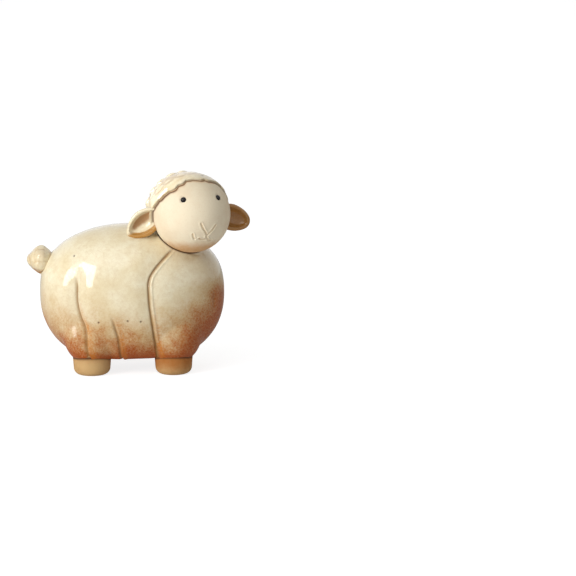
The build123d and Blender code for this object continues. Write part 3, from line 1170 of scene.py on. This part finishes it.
def model_tail():
    mesh = fine_ball(6)
    knobs = tail_knobs()
    core = [half * GLAZED_CORE_SHARE for half in TAIL_CORE]
    lip = mesh.verts.layers.float.new("lip")
    for vertex in mesh.verts:
        way = vertex.co.normalized()
        reach = through(Vector(), way, Vector(), core)[1]
        crossings = [through(Vector(), way, knob, (TAIL_KNOB,) * 3) for knob in knobs]
        knob_reaches = sorted(crossed[1] for crossed in crossings if crossed)
        for knob_reach in knob_reaches:
            reach = soft_larger(reach, knob_reach, TAIL_BLEND)
        lead = knob_reaches[-1] - knob_reaches[-2] if len(knob_reaches) > 1 else 0
        low = smooth_step(way.z, *UNDERSIDE)
        vertex[lip] = max(GROOVE_LIP * hump(lead, TAIL_GROOVE), low, LEAST_LIP)
        reach += HAND_WOBBLE * noise.noise(way * TAIL_WOBBLE_RATE)
        vertex.co = TAIL_MIDDLE + way * reach
    return mesh


dressed("tail_skin", model_tail(), AMBER_GLAZE, "amber_glaze", "tail")

# %% [markdown]
# ## Feet
# A foot is a plain stub.  Half of its outline, from the middle of the sole round the edge and up,
# is spun round a full turn and squeezed to an oval.  Its clay is darkest right under the glaze.

# %% Model the feet
SOLE_LENGTH, SOLE_WIDTH = 19.8 * MM, 18.6 * MM
TOP_LENGTH = 21.4 * MM
FOOT_EDGE = 3.8 * MM
FOOT_LET_IN = 5.7 * MM
FOOT_TURNS = 96
EDGE_STEPS = 10
RISE_STEPS = 24
FOOT_SEAM_WIDTH = 0.5 * MM
PLAIN_STAIN, DEEP_STAIN = (0.45, 3 * MM), (0.9, 9 * MM)


def model_foot(middle, stain_share, stain_width):
    mesh = bmesh.new()
    sole, top = SOLE_LENGTH / 2, TOP_LENGTH / 2
    height = BELLY_HEIGHT + FOOT_LET_IN
    outline = [Vector()]
    for step in range(EDGE_STEPS + 1):
        turn = pi / 2 * step / EDGE_STEPS
        outline.append(Vector((sole - FOOT_EDGE * (1 - sin(turn)), 0, FOOT_EDGE * (1 - cos(turn)))))
    for step in range(1, RISE_STEPS + 1):
        share = step / RISE_STEPS
        side = sole + (top - sole) * share
        outline.append(Vector((side, 0, FOOT_EDGE + (height - FOOT_EDGE) * share)))
    outline.append(Vector((0, 0, height)))
    points = [mesh.verts.new(spot) for spot in outline]
    lines = [mesh.edges.new(pair) for pair in zip(points, points[1:])]
    whole_turn = {"axis": (0, 0, 1), "angle": 2 * pi, "steps": FOOT_TURNS, "use_merge": True}
    bmesh.ops.spin(mesh, geom=points + lines, cent=(0, 0, 0), **whole_turn)
    bmesh.ops.remove_doubles(mesh, verts=mesh.verts, dist=WELD)
    bmesh.ops.recalc_face_normals(mesh, faces=mesh.faces)
    bmesh.ops.scale(mesh, vec=(1, SOLE_WIDTH / SOLE_LENGTH, 1), verts=mesh.verts)
    bmesh.ops.translate(mesh, vec=(middle.x, middle.y, 0), verts=mesh.verts)
    blush_and_shade, seam = layers(mesh, "blush_and_shade", "seam")
    for vertex in mesh.verts:
        out = vertex.co - BODY_MIDDLE
        below = out.length - body_reach(out.normalized())
        vertex[seam] = hump(below, FOOT_SEAM_WIDTH)
        vertex[blush_and_shade] = stain_share * hump(below, stain_width)
    return mesh


for foot in FEET:
    stain_and_shade = DEEP_STAIN if foot == "front_right_foot" else PLAIN_STAIN
    mesh = model_foot(middle_of(foot), *stain_and_shade)
    dressed(foot + "_skin", mesh, FOOT_FINISH, "stained_clay", foot)

# %% [markdown]
# ## Floor, background and lamps
# A pale floor and a white background stand in for the studio.  The background looks full white but
# lights the sheep at a lower level.  A softbox at the upper left gives the sharp highlights, and a
# large dim one above fills the shade.  A strip of light behind draws the wet streak on the wool,
# and lights nothing else.

# %% Lay the floor and light the set
WHITE = (1, 1, 1, 1)
FLOOR_SIZE = 12
FLOOR_COLOUR = (0.80, 0.80, 0.80, 1)
FLOOR_ROUGHNESS = 0.8
FLOOR_GLOW_SHARE = 0.5
FLOOR_GLOW = 1.65
ROOM_LIGHT = 0.36

# the background shows as white in the lens, in gloss and through glass
world = bpy.data.worlds.new("studio")
world.use_nodes = True
kinds = ["Is Camera Ray", "Is Glossy Ray", "Is Transmission Ray"]
start = Wire(world.node_tree)
lens, gloss, glass = (start.node("ShaderNodeLightPath", output=kind) for kind in kinds)
seen = lens.larger(gloss).larger(glass)
background = world.node_tree.nodes["Background"]
plug(background, {"Color": WHITE, "Strength": seen * (1 - ROOM_LIGHT) + ROOM_LIGHT})
bpy.context.scene.world = world

floor_finish, shader, start = blank_material("pale_floor")
plug(shader, {"Base Color": FLOOR_COLOUR, "Roughness": FLOOR_ROUGHNESS})
glow = start.node("ShaderNodeEmission", {"Color": WHITE, "Strength": FLOOR_GLOW})
in_lens = start.node("ShaderNodeLightPath", output="Is Camera Ray")
shaded = Wire(start.tree, shader.outputs[0])
mixed = start.node("ShaderNodeMixShader", {0: in_lens * FLOOR_GLOW_SHARE, 1: shaded, 2: glow})
plug(start.tree.nodes["Material Output"], {"Surface": mixed})
mesh = bmesh.new()
bmesh.ops.create_grid(mesh, x_segments=1, y_segments=1, size=FLOOR_SIZE / 2)
floor = finished("floor", mesh, floor_finish)


def softbox(name, target, way, distance, size, power):
    """A rectangular lamp that looks at a point from a direction."""
    lamp = bpy.data.lights.new(name, "AREA")
    lamp.shape = "RECTANGLE"
    lamp.size, lamp.size_y = size
    lamp.energy = power
    holder = add_object(name, lamp)
    way = Vector(way).normalized()
    holder.location = target + way * distance
    holder.rotation_euler = (-way).to_track_quat("-Z", "Y").to_euler()
    return holder


softbox("key_softbox", sheep_middle, (-0.70, -0.62, 0.27), 0.9, (0.30, 0.58), 5.4)
softbox("top_softbox", sheep_middle, (-0.25, -0.55, 0.80), 1.4, (1.0, 1.0), 4.0)
strip = softbox("head_strip", FACE_MIDDLE, (-0.78, 0.46, 0.38), 0.9, (0.24, 0.50), 5.0)
lit = bpy.data.collections.new("head_strip_lights")
for piece in (wool, *curl_skins):
    lit.objects.link(piece)
strip.light_linking.receiver_collection = lit
print("lamps:", len(bpy.data.lights))
